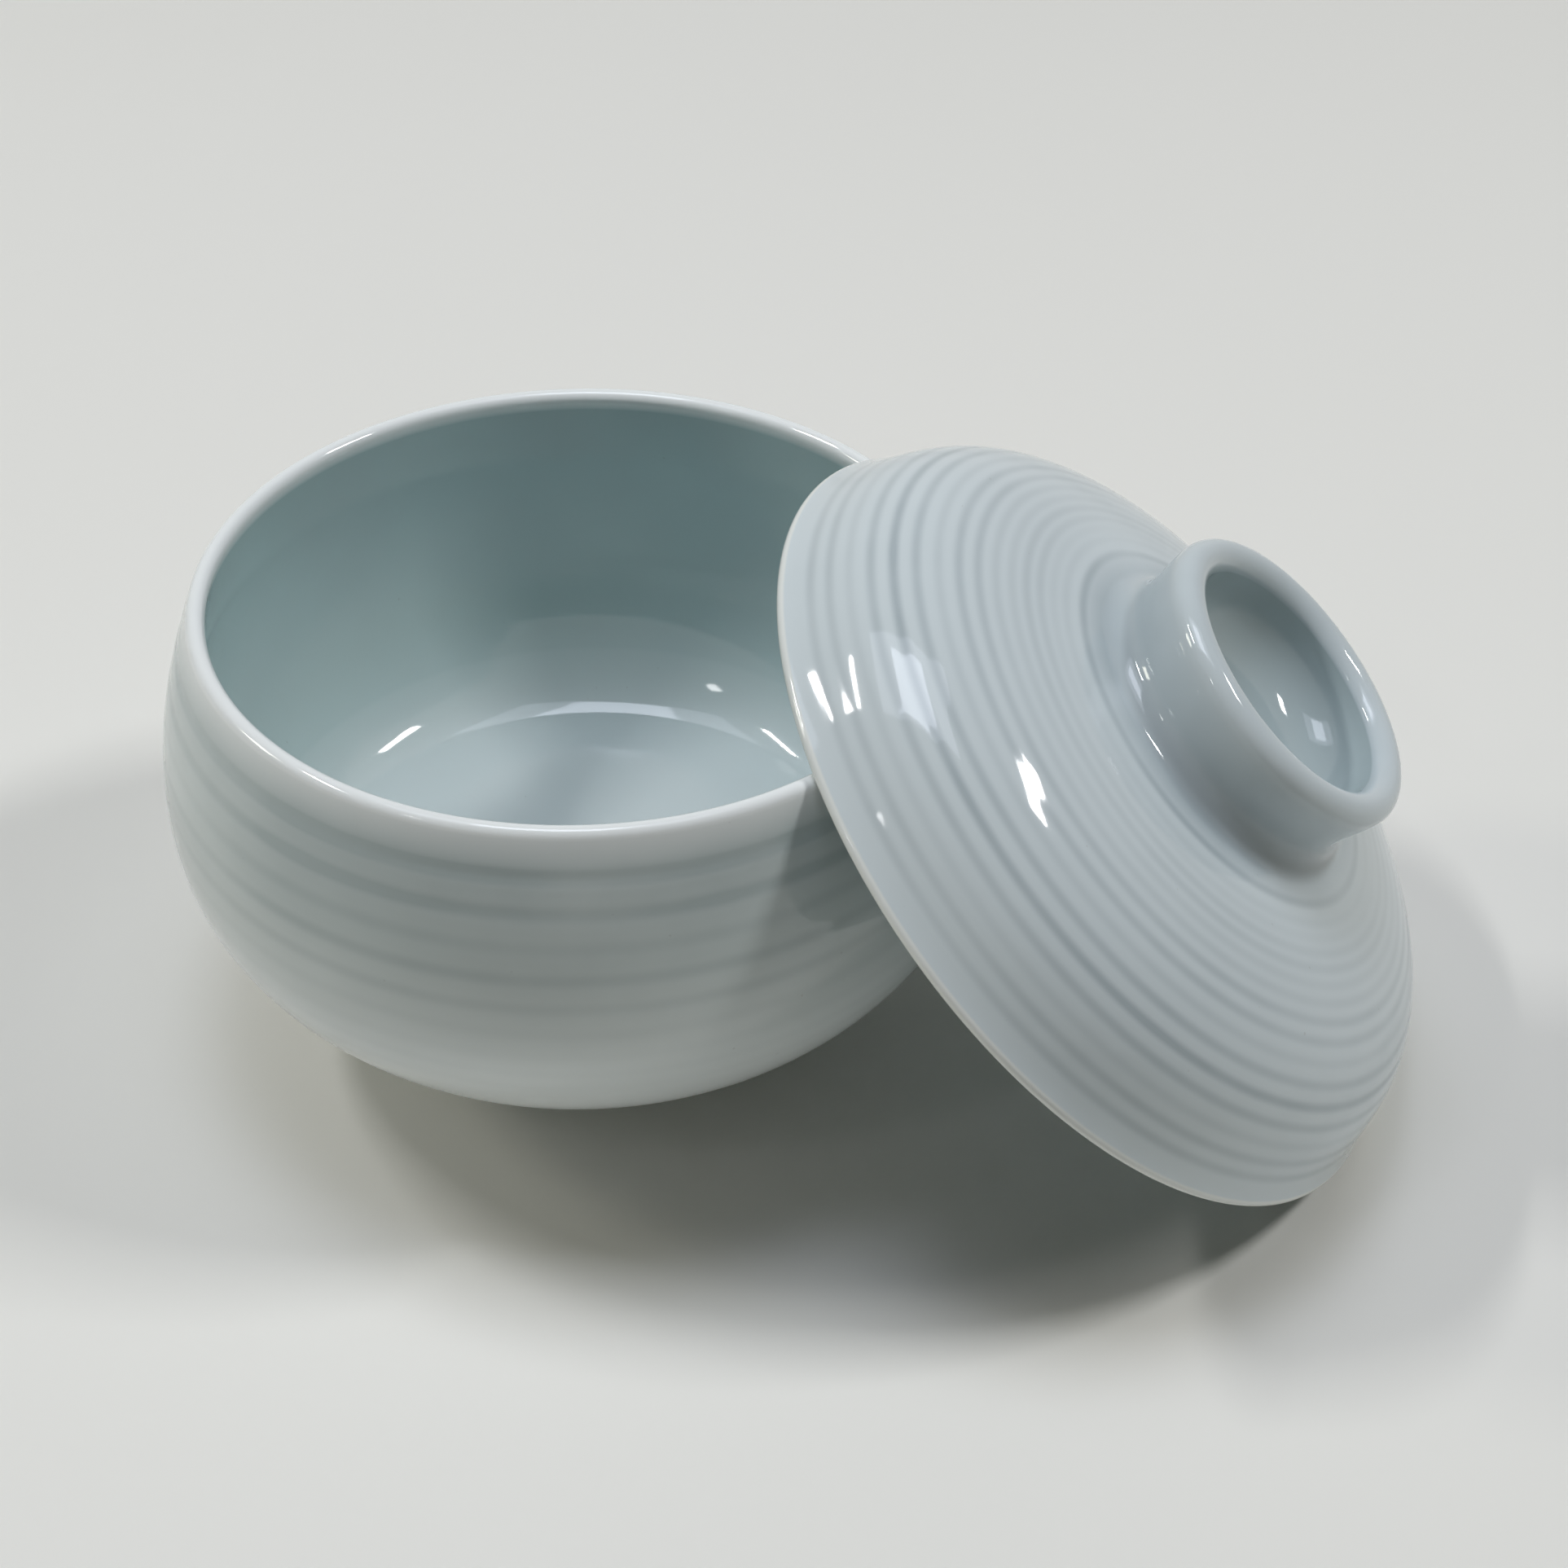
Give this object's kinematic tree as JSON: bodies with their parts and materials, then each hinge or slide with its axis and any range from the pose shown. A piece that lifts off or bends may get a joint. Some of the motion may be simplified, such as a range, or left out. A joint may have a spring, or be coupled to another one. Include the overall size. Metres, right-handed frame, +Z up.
{
  "type": "lidded steaming bowl",
  "caption": "Round glazed bowl with ring-grooved wall, rolled lip and foot ring, and its domed cap lid with a hollow ring knob, leaning on the bowl's lip.",
  "frame": {"origin": "on the table, under the middle of the overall box of the bowl and the leaning lid", "axes": "+Z up, +X from the bowl towards the lid that leans on it, +Y to the left of that; the object is symmetric about the XZ plane"},
  "size_m": [0.1532, 0.1022, 0.0736],
  "materials": {
    "bowl_glaze": "gloss, pale bluish-white translucent glaze",
    "lid_glaze": "gloss, pale bluish-white translucent glaze"
  },
  "bodies": {
    "bowl": {"bowl": "bowl_glaze"},
    "lid": {"lid": "lid_glaze"}
  },
  "joints": [
    {"name": "lid_lift", "type": "slide", "parent": "bowl", "child": "lid", "axis": [0, 0, 1], "range_m": [0, 0.12]}
  ]
}
